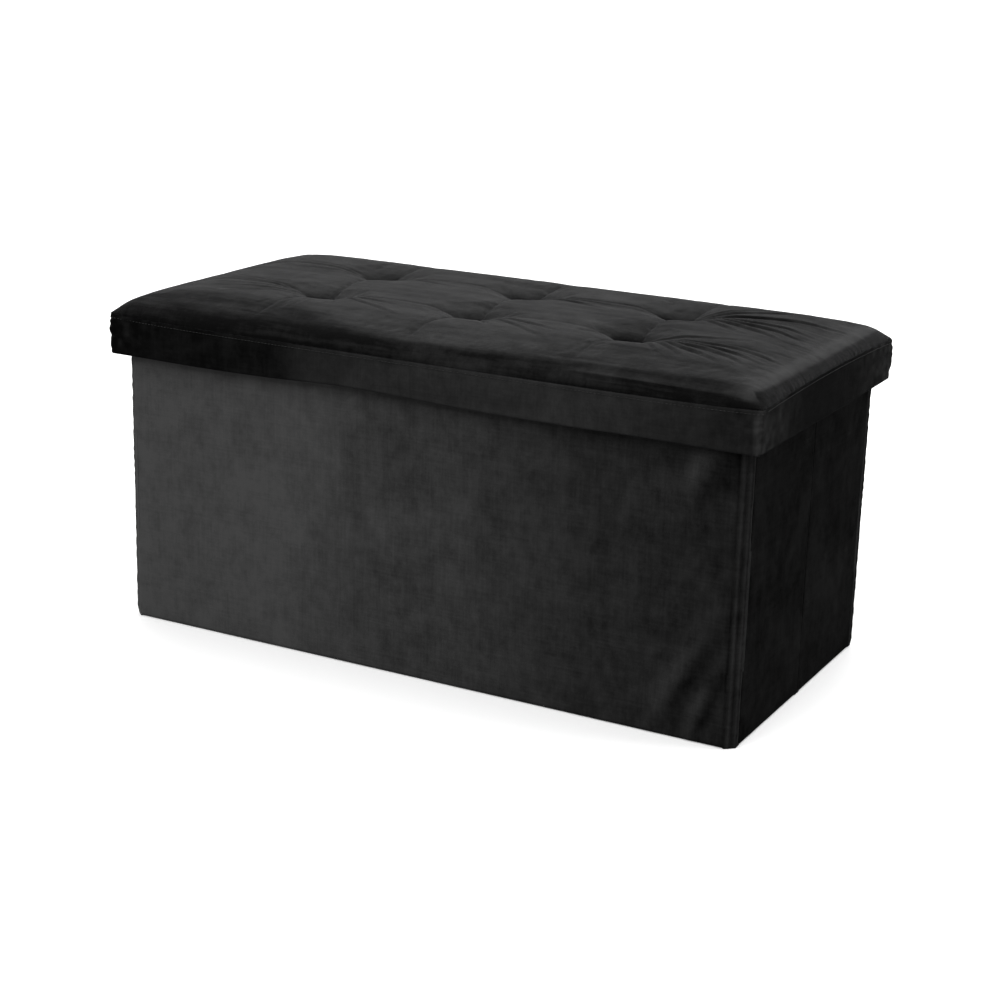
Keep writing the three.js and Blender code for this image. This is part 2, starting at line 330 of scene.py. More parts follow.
def liningMaterial():
    # non-woven cloth: matted fibres and a square grid of small pressed bond points
    graph = Graph("liningCloth")
    fibres = graph.noise(900.0, 4.0, roughness=0.7)
    tone = graph.noise(25.0, 3.0)
    cells = graph.add("ShaderNodeTexVoronoi", feature="F1", distance="EUCLIDEAN")
    cells.inputs["Scale"].default_value = 520.0
    cells.inputs["Randomness"].default_value = 0.0
    graph.links.new(graph.place, cells.inputs["Vector"])
    bonds = graph.spread(cells.outputs["Distance"], 0.12, 0.42)
    cloudy, matted = graph.spread(tone, 0.3, 0.7, 0.0, 0.4), graph.spread(fibres, 0.3, 0.7, 0.0, 0.5)
    share = graph.math("ADD", cloudy, matted)
    colour = graph.mix(share, (0.009, 0.009, 0.010), (0.028, 0.028, 0.030))
    normal = graph.bump(fibres, 0.0003, 0.5, graph.bump(bonds, 0.0004, 0.8))
    return graph.finish(colour, 0.88, normal, **{"Specular IOR Level": 0.25})


def boardMaterial():
    # fibreboard: pressed wood fibres, lighter and darker flecks on a warm tan
    graph = Graph("fibreboard")
    flecks = graph.noise(700.0, 6.0, roughness=0.75)
    clouds = graph.noise(14.0, 4.0)
    fine, broad = graph.spread(flecks, 0.35, 0.65, 0.0, 0.7), graph.spread(clouds, 0.3, 0.7, 0.0, 0.3)
    share = graph.math("ADD", fine, broad)
    colour = graph.mix(share, (0.27, 0.165, 0.08), (0.50, 0.34, 0.19))
    normal = graph.bump(flecks, 0.0003, 0.5)
    return graph.finish(colour, 0.74, normal, **{"Specular IOR Level": 0.3})


def threadMaterial(name, tone):
    # twisted thread: fine slanting plies
    graph = Graph(name)
    plies = graph.noise(3000.0, 2.0, graph.stretched((1.0, 1.0, 0.4)))
    colour = graph.mix(plies, (tone * 0.6,) * 3, (tone * 1.6,) * 3)
    return graph.finish(colour, 0.55, graph.bump(plies, 0.0002, 0.6), **{"Sheen Weight": 0.05})


seatVelvet = velvetMaterial("seatVelvet", velvetLook["seat"])
skirtVelvet = velvetMaterial("skirtVelvet", velvetLook["skirt"])
frontVelvet = velvetMaterial("frontVelvet", velvetLook["front"])
# a much darker copy of the same velvet, for the ends, flaps, pull tab and creases: painted shade
shadedVelvet = velvetMaterial("shadedVelvet", velvetLook["end"])
lining = liningMaterial()
board = boardMaterial()
thread = threadMaterial("seamThread", 0.008)
twine = threadMaterial("twine", 0.05)

for nodeName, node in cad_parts.items():
    if nodeName.endswith(("_board", "_rail")):
        node.data.materials.clear()
        node.data.materials.append(board)
    elif nodeName.endswith("_tie_cord"):
        node.data.materials.clear()
        node.data.materials.append(twine)
print("materials done")


# Mesh helpers.
def meshObject(name, points, quads, material, lastFace=()):
    # quads, and one more flat face round the points in lastFace
    points = np.ascontiguousarray(points, dtype=np.float32)
    quads = np.ascontiguousarray(quads, dtype=np.int32)
    loops = np.concatenate([quads.ravel(), np.array(lastFace, np.int32)]).astype(np.int32)
    starts = np.arange(0, quads.size + (4 if len(lastFace) else 0), 4, dtype=np.int32)
    mesh = bpy.data.meshes.new(name)
    mesh.vertices.add(len(points))
    mesh.vertices.foreach_set("co", points.ravel())
    mesh.loops.add(len(loops))
    mesh.loops.foreach_set("vertex_index", loops)
    mesh.polygons.add(len(starts))
    mesh.polygons.foreach_set("loop_start", starts)
    mesh.update(calc_edges=True)
    mesh.polygons.foreach_set("use_smooth", np.ones(len(starts), dtype=bool))
    mesh.materials.append(material)
    thing = bpy.data.objects.new(name, mesh)
    bpy.context.scene.collection.objects.link(thing)
    return thing


def paint(piece, name, values):
    # one value for each of the first points of a piece, 0 for the rest
    every = np.zeros(len(piece.data.vertices), np.float32)
    every[:values.size] = values.ravel()
    piece.data.attributes.new(name, "FLOAT", "POINT").data.foreach_set("value", every)


def gridQuads(rows, columns, flip=False, start=0, wrapRows=False):
    # quads of a rows x columns grid of points, row-major, wound so that row x column points out
    row = np.arange(rows if wrapRows else rows - 1)[:, None]
    column = np.arange(columns - 1)[None, :]
    nextRow = (row + 1) % rows
    a, b = row * columns + column, nextRow * columns + column
    quads = np.stack([a, b, b + 1, a + 1], axis=-1).reshape(-1, 4) + start
    return quads[:, ::-1] if flip else quads


def thickSheet(name, outer, inner, material, wrapRows=False):
    # a closed skin: the outer grid, the inner grid turned over, and rims between their edges
    rows, columns = outer.shape[:2]
    count = rows * columns
    index = np.arange(count).reshape(rows, columns)

    def rim(before, after):
        return np.stack([before, before + count, after + count, after], -1)

    rims = [rim(index[:-1, 0], index[1:, 0]), rim(index[1:, -1], index[:-1, -1])]
    if wrapRows:
        rims += [rim(index[-1:, 0], index[:1, 0]), rim(index[:1, -1], index[-1:, -1])]
    else:
        rims += [rim(index[0, 1:], index[0, :-1]), rim(index[-1, :-1], index[-1, 1:])]
    quads = np.concatenate([gridQuads(rows, columns, wrapRows=wrapRows),
                            gridQuads(rows, columns, True, count, wrapRows), *rims])
    points = np.concatenate([outer.reshape(-1, 3), inner.reshape(-1, 3)])
    return meshObject(name, points, quads, material)


def smoothNoise(shape, cells, seed):
    # values in -1..1 on a coarse random lattice, blended between its points by cubic smoothstep
    random = np.random.default_rng(seed)
    lattice = random.uniform(-1, 1, (cells[0] + 2, cells[1] + 2))
    parts = []
    for size, count in zip(shape, cells):
        place = np.linspace(0, count, size, endpoint=False)
        cell = place.astype(int)
        share = place - cell
        parts.append((cell, share * share * (3 - 2 * share)))
    (row, rowShare), (column, columnShare) = parts
    rowShare, columnShare = rowShare[:, None], columnShare[None, :]
    low, high = (lattice[np.ix_(line, column)] * (1 - columnShare)
                 + lattice[np.ix_(line, column + 1)] * columnShare for line in (row, row + 1))
    return low * (1 - rowShare) + high * rowShare


def arc(centre, radius, fromDegrees, toDegrees, steps):
    angle = np.radians(np.linspace(fromDegrees, toDegrees, steps))
    return np.stack([centre[0] + radius * np.cos(angle), centre[1] + radius * np.sin(angle)], -1)


def distances(path):
    # how far each point of a polyline is from its start, along it
    return np.concatenate([[0], np.cumsum(np.linalg.norm(np.diff(path, axis=0), axis=1))])


def evenly(path, step):
    # points every step along a polyline, both ends kept
    length = distances(path)
    count = max(int(round(length[-1] / step)), 2)
    places = np.linspace(0, length[-1], count + 1)
    return np.stack([np.interp(places, length, path[:, axis]) for axis in range(path.shape[1])], -1)


def rectangle(left, right, first, last, step):
    # round a rectangle in plan, back to where it starts
    outline = [(left, first), (right, first), (right, last), (left, last), (left, first)]
    return evenly(np.array(outline), step)


def leftOf(path, closed=False):
    # unit normals to the left of a plane path
    if closed:
        along = np.roll(path, -1, 0) - np.roll(path, 1, 0)
    else:
        along = np.gradient(path, axis=0)
    along /= np.linalg.norm(along, axis=1, keepdims=True)
    return np.stack([-along[:, 1], along[:, 0]], -1)


stitch = {"step": 4.2 * mm, "length": 3.0 * mm, "radius": 0.26 * mm, "sides": 5}


def makeStitches(name, path, normals, body):
    # a row of short arched threads along a path: each is a tube of five rings that dips into the
    # cloth at both ends
    length = distances(path)
    count = max(int(length[-1] / stitch["step"]), 1)
    middle = (np.arange(count) + 0.5) * length[-1] / count
    share = np.array([-0.5, -0.42, 0.0, 0.42, 0.5])
    places = middle[:, None] + share * stitch["length"]
    spine = np.stack([np.interp(places, length, path[:, axis]) for axis in range(3)], -1)
    up = np.stack([np.interp(places, length, normals[:, axis]) for axis in range(3)], -1)
    up /= np.linalg.norm(up, axis=2, keepdims=True)
    ahead = spine[:, -1:] - spine[:, :1]
    ahead = ahead / np.linalg.norm(ahead, axis=2, keepdims=True)
    side = np.cross(ahead, up)
    radius = stitch["radius"]
    arch = np.array([-0.9, -0.1, 0.55, -0.1, -0.9])[None, :, None] * radius
    turn = np.linspace(0, 2 * math.pi, stitch["sides"], endpoint=False)
    ring = up[:, :, None] * np.cos(turn)[:, None] + side[:, :, None] * np.sin(turn)[:, None]
    width = radius * np.array([0.5, 0.95, 1.0, 0.95, 0.5])[None, :, None, None]
    points = (spine + up * arch)[:, :, None] + ring * width
    sides, rings = stitch["sides"], len(share)
    ringIndex, sideIndex = np.arange(rings - 1)[:, None], np.arange(sides)[None]
    nextSide = (sideIndex + 1) % sides
    one = np.stack([ringIndex * sides + sideIndex, (ringIndex + 1) * sides + sideIndex,
                    (ringIndex + 1) * sides + nextSide, ringIndex * sides + nextSide], -1).reshape(-1, 4)
    quads = (one[None] + (np.arange(count) * rings * sides)[:, None, None]).reshape(-1, 4)
    piece = meshObject(name, points.reshape(-1, 3), quads, thread)
    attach(piece, body)


# Walls.
wall = {
    "velvetThickness": 1.0 * mm,
    "turnIn": 14 * mm,  # how far the velvet comes down the inside at the top
    "hemTurnIn": 4 * mm,
    "topRadius": 2.2 * mm,
    "step": 3.0 * mm,
    "wave": 0.35 * mm,
    "thickness": 8.0 * mm,
    "cap": 0.25 * mm,  # the velvet stands this far off the end of the board
    "flap": {"width": 10 * mm, "short": 12 * mm, "level": 0.62 * mm, "thickness": 0.45 * mm},
}
wallTop = corners("front_wall_cover")[1][2]
endX = float(corners("right_front_half_cover")[1][0])
sideY = float(-corners("front_wall_cover")[0][1])

# each panel: where its foot starts, the way it runs, its length, body and material
frontLow, frontHigh = corners("front_wall_cover")
halfLow, halfHigh = corners("right_front_half_cover")
wallLength = float(frontHigh[0] - frontLow[0])
halfLength = float(halfHigh[1] - halfLow[1])
halfStart = float(-halfLow[1])
creaseStart = float(-halfHigh[1])
panels = {
    "front_wall": ((-wallLength / 2, -sideY), (1, 0), wallLength, frontVelvet, 11),
    "back_wall": ((wallLength / 2, sideY), (-1, 0), wallLength, frontVelvet, 12),
    "right_front_half": ((endX, -halfStart), (0, 1), halfLength, shadedVelvet, 13),
    "right_rear_half": ((endX, creaseStart), (0, 1), halfLength, shadedVelvet, 14),
    "left_rear_half": ((-endX, halfStart), (0, -1), halfLength, shadedVelvet, 15),
    "left_front_half": ((-endX, -creaseStart), (0, -1), halfLength, shadedVelvet, 16),
}


def panelProfile():
    # section across a wall, as (outward, height) from the outer foot: up from the inside turn-in,
    # over the rounded top, down the outside, round the foot and a little way up inside
    radius, inside = wall["topRadius"], -wall["thickness"] - 0.5 * mm
    top = wallTop + 0.1 * mm
    outline = np.concatenate([
        [[inside, top - wall["turnIn"]]],
        arc((inside + radius, top - radius), radius, 180, 90, 7),
        arc((-radius, top - radius), radius, 90, 0, 7),
        arc((-radius, radius + 0.2 * mm), radius, 0, -90, 7),
        arc((inside + radius, radius + 0.2 * mm), radius, -90, -180, 7),
        [[inside, wall["hemTurnIn"]]],
    ])
    return evenly(outline, wall["step"])


def dentsOn(name, along, height, length):
    # shallow dents and pulls in the velvet, in metres outward: smooth bumps at listed spots,
    # each a Gaussian that is long in one direction
    dents = {
        "front_wall": [  # along, height, half length, half width, degrees, depth
            (0.682, 0.278, 0.038, 0.018, 58, 0.0050), (0.655, 0.062, 0.055, 0.009, 55, -0.0004),
            (0.668, 0.070, 0.060, 0.012, 62, 0.0030), (0.690, 0.040, 0.040, 0.008, 70, 0.0020),
            (0.610, 0.150, 0.120, 0.020, 80, 0.0010), (0.020, 0.150, 0.120, 0.012, 88, 0.0008),
        ],
        "right_rear_half": [
            (0.112, 0.262, 0.014, 0.006, 75, 0.0020), (0.101, 0.262, 0.010, 0.004, 80, -0.0006),
            (0.060, 0.17, 0.12, 0.012, 90, 0.0007),
        ],
        "right_front_half": [
            (0.080, 0.20, 0.13, 0.014, 90, 0.0008), (0.040, 0.10, 0.09, 0.012, 88, 0.0006),
        ],
    }.get(name, [
        (0.3 * length, 0.2, 0.12, 0.015, 85, 0.0007), (0.75 * length, 0.12, 0.10, 0.012, 95, 0.0008),
    ])
    total = np.zeros(np.broadcast(along, height).shape)
    for centre, level, halfLong, halfWide, degrees, depth in dents:
        turn = math.radians(degrees)
        x, z = along - centre, height - level
        lengthwise = x * math.cos(turn) + z * math.sin(turn)
        across = z * math.cos(turn) - x * math.sin(turn)
        total += depth * np.exp(-(lengthwise / halfLong) ** 2 - (across / halfWide) ** 2)
    return total


def makeWallVelvet(name):
    # the section carried along the wall, with the outside pushed out and in by slow waves and dents;
    # at each end one more row closes the velvet over the end of the board
    foot, way, length, material, seed = panels[name]
    way = np.array(way, float)
    outward = np.array([way[1], -way[0]])
    section = panelProfile()
    normal = leftOf(section)
    along = np.linspace(0, length, int(length / wall["step"]) + 1)
    waves = smoothNoise((len(along), len(section)), (max(int(length / 0.07), 2), 6), seed)
    onFace = np.clip((section[:, 0] + 0.5 * mm) / (0.5 * mm), 0, 1)[None, :]
    push = wall["wave"] * (waves + 0.6) + dentsOn(name, along[:, None], section[None, :, 1], length)
    push = onFace * np.maximum(push, -0.5 * mm)  # the board behind stops any deeper dent

    def surface(lift, beyond):
        line = section[None] + normal[None] * (lift + push[..., None])
        cap = np.stack([np.full(len(section), -wall["thickness"] - 0.2 * mm),
                        np.clip(section[:, 1], 1 * mm, wallTop - 1 * mm)], -1)[None]
        line = np.concatenate([cap, line, cap])
        place = np.concatenate([[-beyond, -beyond], along[1:-1], [length + beyond] * 2])
        plan = np.array(foot)[None, None] + way * place[:, None, None] + outward * line[..., :1]
        return np.concatenate([plan, line[..., 1:]], -1)

    outer, inner = surface(0.0, wall["cap"]), surface(-wall["velvetThickness"], 0.05 * mm)
    piece = thickSheet(f"{name}_velvet", outer, inner, material)
    # painted light: the slope of the dents along the wall, for shading on top of the real bumps
    paint(piece, "tilt", np.pad(np.gradient(push, along, axis=0), ((1, 1), (0, 0))).clip(-0.5, 0.5))
    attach(piece, name)
    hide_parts(f"{name}_cover", f"{name}_hem")
    rows = np.linspace(3 * mm, length - 3 * mm, 60)
    depth = wall["thickness"] + 0.45 * mm
    plan = np.array(foot) + way * rows[:, None] - outward * depth
    level = np.full((len(rows), 1), wallTop - wall["turnIn"] + 3 * mm)
    inward = np.concatenate([np.broadcast_to(-outward, plan.shape), np.zeros_like(level)], 1)
    path = np.concatenate([plan, level], 1)
    makeStitches(f"{name}_stitches", path, inward, name)


def makeFlap(name):
    # a strip of the velvet turned in under the edge of the floor, level, with a wavy cut edge
    foot, way, length, _, seed = panels[name]
    way, flap = np.array(way, float), wall["flap"]
    outward = np.array([way[1], -way[0]])
    along = np.linspace(flap["short"], length - (flap["short"] if name == "back_wall" else 2 * mm), 120)
    if name in ("right_rear_half", "left_front_half"):
        along = along - flap["short"] + 2 * mm
    reach = flap["width"] + 0.4 * mm * smoothNoise((120, 1), (22, 1), seed + 80)
    inward = wall["thickness"] - 1.5 * mm + reach * np.linspace(0, 1, 7)[None]
    plan = np.array(foot) + way * along[:, None, None] - outward * inward[..., None]
    face = np.concatenate([plan, np.full((*inward.shape, 1), flap["level"])], -1)
    rear = face - np.array([0, 0, flap["thickness"]])
    piece = thickSheet(f"{name}_flap", face[:, ::-1], rear[:, ::-1], shadedVelvet)
    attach(piece, name)


def makeWallLining(name):
    # a flat cloth against the board, with slow waves
    foot, way, length, _, seed = panels[name]
    way = np.array(way, float)
    outward = np.array([way[1], -way[0]])
    low, high = corners(f"{name}_lining")
    rows, columns = int(length / 0.004) + 1, 84
    along = np.linspace(-0.2 * mm, length + 0.2 * mm, rows)
    height = np.linspace(low[2], high[2], columns)
    waves = smoothNoise((rows, columns), (max(int(length / 0.05), 2), 6), seed + 50)
    inset = wall["thickness"] - 0.05 * mm - 0.12 * mm * (waves + 1)

    def surface(depth):
        plan = np.array(foot) + way * along[:, None, None] - outward * (inset + depth)[..., None]
        return np.concatenate([plan, np.broadcast_to(height[None, :, None], (rows, columns, 1))], -1)

    piece = thickSheet(f"{name}_inner_cloth", surface(-0.35 * mm), surface(0.0), lining)
    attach(piece, name)
    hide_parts(f"{name}_lining")


for panelName in panels:
    makeWallVelvet(panelName)
    makeWallLining(panelName)
    if panelName != "front_wall":
        makeFlap(panelName)
print("wall cloths done")

# Corner bands and end creases.
corner = {
    "bandFrom": (357.0 * mm, -177.0 * mm),
    "bandTo": (366.0 * mm, -168.6 * mm),
    "lapTo": -160.0 * mm,  # the band laps over the end half as far as this
    "bend": (-165.0 * mm, -161.5 * mm),  # two places along the lap over the end half
    "ridge": 1.3 * mm,
    "ridgeWidth": 1.2 * mm,
    "pucker": 0.35 * mm,
    "thickness": 0.9 * mm,
}
bodiesAtCorner = {
    ("front", "right"): ("front_wall", "right_front_half"),
    ("front", "left"): ("front_wall", "left_front_half"),
    ("back", "left"): ("left_rear_half", "back_wall"),
    ("back", "right"): ("back_wall", None),
}


def makeCornerBand(rear, side):
    # plan section of the corner: along the wall, across the slanting band with two rolled ridges,
    # then along the end; carried up from the foot with small puckers
    start, end = np.array(corner["bandFrom"]), np.array(corner["bandTo"])
    lead, lap = np.array([start[0] - 1.4 * mm, start[1]]), np.array([end[0], corner["lapTo"]])
    section = evenly(np.array([lead, start, end, lap]), 0.45 * mm)
    away = -leftOf(section)
    ridges = sum(np.exp(-(np.linalg.norm(section - place, axis=1) / corner["ridgeWidth"]) ** 2)
                 for place in (start + 0.38 * (end - start), start + 0.97 * (end - start)))
    height = np.linspace(0.4 * mm, wallTop - 0.2 * mm, 180)
    puckers = smoothNoise((len(height), len(section)), (70, 5), 31 + len(rear + side))
    ridges = ridges[None, :]
    lift = 0.25 * mm + corner["ridge"] * ridges + corner["pucker"] * puckers * (0.3 + ridges)
    fromEnds = np.minimum((height[-1] - height) / (2 * mm) + 0.4, (height - height[0]) / (7 * mm) + 0.15)
    lift = lift * np.clip(fromEnds, 0, 1)[:, None]
    turn = np.array([1 if side == "right" else -1, 1 if rear == "front" else -1])
    # one more row closes the top and the foot of the corner, as far as the inside of the walls
    inside = np.array([[lead[0], lead[1] + wall["thickness"]], [lap[0] - wall["thickness"], lap[1]]])
    closing = (inside[0] + (inside[1] - inside[0]) * np.linspace(0, 1, len(section))[:, None])[None]
    inwards = np.array([-1, -1, *np.zeros(len(height) - 2), 1, 1])[:, None, None]

    def surface(extra):
        plan = section[None] + away[None] * (lift + extra)[..., None]
        plan = np.concatenate([closing, plan, closing]) * turn
        level = np.pad(height, 1, "edge")[:, None, None] + extra * inwards
        return np.concatenate([plan, np.broadcast_to(level, (*plan.shape[:2], 1))], -1)

    outer, inner = surface(0.0), surface(-corner["thickness"])
    if turn[0] * turn[1] > 0:
        outer, inner = outer[::-1], inner[::-1]
    piece = thickSheet(f"{rear}_{side}_corner_velvet", outer, inner, frontVelvet)
    first, second = bodiesAtCorner[rear, side]
    if second is None:
        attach(piece, first)
    else:
        bend = [(endX * turn[0], y * turn[1], 0.17) for y in corner["bend"]]
        if rear == "back":
            bend.reverse()
        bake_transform(piece)
    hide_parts(f"{rear}_{side}_corner_band")


crease = {
    "halfWidth": 7 * mm,
    "lift": 0.28 * mm,
    "groove": 1.1 * mm,
    "grooveWidth": 0.9 * mm,
    "lip": 0.22 * mm,
    "thickness": 0.7 * mm,
    "bend": 1.2 * mm,  # a distance to each side of its middle
}


def makeCrease(side):
    # the velvet over the end crease: flat, with a narrow groove down its middle and a low lip
    turn = 1 if side == "right" else -1
    across = np.linspace(-crease["halfWidth"], crease["halfWidth"], 57)
    height = np.linspace(0.4 * mm, wallTop - 0.3 * mm, 150)
    wander = 0.35 * mm * smoothNoise((len(height), 1), (9, 1), 71)
    fromMiddle = across[None, :] - wander
    profile = np.exp(-(fromMiddle / crease["grooveWidth"]) ** 2)
    lip = np.exp(-((np.abs(fromMiddle) - 2.2 * mm) / (1.2 * mm)) ** 2)
    fade = np.clip((crease["halfWidth"] - np.abs(across)) / (3 * mm), 0, 1)[None, :]
    lift = crease["lift"] * (0.55 + 0.45 * fade) - crease["groove"] * profile + crease["lip"] * lip
    x = endX + lift

    def surface(extra):
        points = np.stack([turn * (x + extra), np.broadcast_to(across * turn, x.shape),
                           np.broadcast_to(height[:, None], x.shape)], -1)
        return points[::-1]

    piece = thickSheet(f"{side}_crease_velvet", surface(0.0), surface(-crease["thickness"]), shadedVelvet)
    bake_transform(piece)


for rearName, sideName in bodiesAtCorner:
    makeCornerBand(rearName, sideName)
for sideName in ("left", "right"):
    makeCrease(sideName)
print("corners and creases done")

# The floor: two cloths on its board, stitched round, and a pull tab.
floorCloth = {
    "thickness": 0.45 * mm,
    "wave": 0.18 * mm,
    "rows": 178,
    "columns": 84,
    "seamInset": 7 * mm,
    "tabCurl": 1.6 * mm,
}


def makeFlatCloth(name, node, body, up, wave=floorCloth["wave"]):
    # a level cloth filling the box of its node, with slow waves and a slight pucker at its seam
    low, high = corners(node)
    x = np.linspace(low[0], high[0], floorCloth["rows"])[:, None]
    y = np.linspace(low[1], high[1], floorCloth["columns"])[None, :]
    fromEdge = np.minimum(np.minimum(x - low[0], high[0] - x), np.minimum(y - low[1], high[1] - y))
    seam = np.exp(-((fromEdge - floorCloth["seamInset"]) / (2.5 * mm)) ** 2)
    waves = smoothNoise(seam.shape, (24, 12), 61 + len(name))
    pucker = smoothNoise(seam.shape, (120, 60), 62 + len(name))
    lift = wave * (waves + 1) * (1 - seam) + 0.15 * mm * pucker * seam
    base = high[2] - 0.2 * mm if up else low[2] + 0.2 * mm
    level = base + lift if up else base - lift
    x, y = np.broadcast_to(x, seam.shape), np.broadcast_to(y, seam.shape)
    face = np.stack([x, y, level], -1)
    rear = face - np.array([0, 0, floorCloth["thickness"] if up else -floorCloth["thickness"]])
    if not up:
        face, rear = face[::-1], rear[::-1]
    piece = thickSheet(name, face, rear, lining)
    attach(piece, body)
    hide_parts(node)
    inset = floorCloth["seamInset"]
    loop = rectangle(low[0] + inset, high[0] - inset, low[1] + inset, high[1] - inset, 4 * mm)
    way = 1 if up else -1
    path = np.concatenate([loop, np.full((len(loop), 1), base + way * 0.05 * mm)], 1)
    makeStitches(f"{name}_stitches", path, np.tile([0.0, 0.0, way], (len(path), 1)), body)


def makePullTab():
    # a doubled velvet strip sewn down at its rear end, its free end curled up a little
    low, high = corners("floor_pull_tab")
    across = np.linspace(low[0], high[0], 41)[:, None]
    along = np.linspace(low[1], high[1], 43)[None, :]
    free = np.clip((high[1] - 12 * mm - along) / (high[1] - low[1] - 12 * mm), 0, 1)
    curl = floorCloth["tabCurl"] * free ** 2
    rolled = 0.25 * mm * np.sin(np.pi * (across - low[0]) / (high[0] - low[0]))
    level = low[2] + 0.9 * mm + curl + rolled + 0.1 * mm * smoothNoise((41, 43), (6, 6), 77)
    x, y = np.broadcast_to(across, level.shape), np.broadcast_to(along, level.shape)
    top = np.stack([x, y, level], -1)
    piece = thickSheet("floor_tab_velvet", top, top - np.array([0, 0, 0.9 * mm]), shadedVelvet)
    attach(piece, "floor")
    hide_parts("floor_pull_tab")
    edge, rear, front = 4 * mm, high[1] - 3 * mm, high[1] - 13 * mm
    box = rectangle(low[0] + edge, high[0] - edge, rear, front, 1 * mm)
    path = np.concatenate([box, np.full((len(box), 1), low[2] + 1.2 * mm)], 1)
    makeStitches("floor_tab_stitches", path, np.tile([0.0, 0.0, 1.0], (len(path), 1)), "floor")


makeFlatCloth("floor_upper_cloth", "floor_top_cloth", "floor", True)
makeFlatCloth("floor_lower_cloth", "floor_under_cloth", "floor", False)
makePullTab()
print("storage floor done")

# The lid: its outline, the seam line, the skirt below it and the seat above it.
lidHigh = corners("back_skirt")[1]
lidX, lidY = float(lidHigh[0]), float(lidHigh[1])
deckTop = float(corners("lid_deck_board")[1][2])
liningLevel = float(corners("lid_lining")[0][2])
lid = {
    "cornerRadius": 3.6 * mm,
    "seam": 345.4 * mm,  # lowest along the middle of a long side
    "cornerRise": 3.4 * mm,
    "endRise": 4.6 * mm,  # and this much more at the middle of an end
    "step": 2.3 * mm,
}


def lidOutline(inset, step):
    # a rectangle with round corners, from the middle of the front, anticlockwise, evenly spaced
    radius = lid["cornerRadius"]
    x, y = lidX - inset, lidY - inset
    frontRight = arc((x - radius, -y + radius), radius, -90, 0, 9)
    backRight = arc((x - radius, y - radius), radius, 0, 90, 9)
    outline = np.concatenate([[[0, -y]], frontRight, backRight, backRight[::-1] * (-1, 1),
                              frontRight[::-1] * (-1, 1), [[0, -y]]])
    return evenly(outline, step)[:-1]


def seamHeight(x, y):
    # lowest along the long sides, a little up at the corners, highest at the middle of each end
    side = lid["cornerRise"] * np.abs(x / lidX) ** 5
    end = lid["endRise"] * (1 - np.minimum(np.abs(y / lidY), 1) ** 2) * np.abs(x / lidX) ** 12
    return lid["seam"] + side + end


skirt = {
    "foot": 304.2 * mm,
    "footRise": 3.4 * mm,  # the foot of the front and back is this much higher left of the middle
    "railWidth": 10.6 * mm,
    "radius": 2.4 * mm,
    "thickness": 1.0 * mm,
    "wave": 0.7 * mm,
    "welt": 0.35 * mm,  # how far the seam allowance lifts the velvet just below the seam
    "ripple": 0.35 * mm,
    "slowRipple": 0.5 * mm,
    "gather": 2.3 * mm,  # height of the puckers beside the corner seams
    "gatherReach": 14 * mm,
    "cornerSeam": 1.5 * mm,
    "belly": 0.5 * mm,
    "stitchDrop": 3.2 * mm,
    "paintedSeamHighlight": 0.45,  # painted highlight: how much brighter the ends are made near the corner seams
    "paintedSeamHighlightReach": 75 * mm,
}


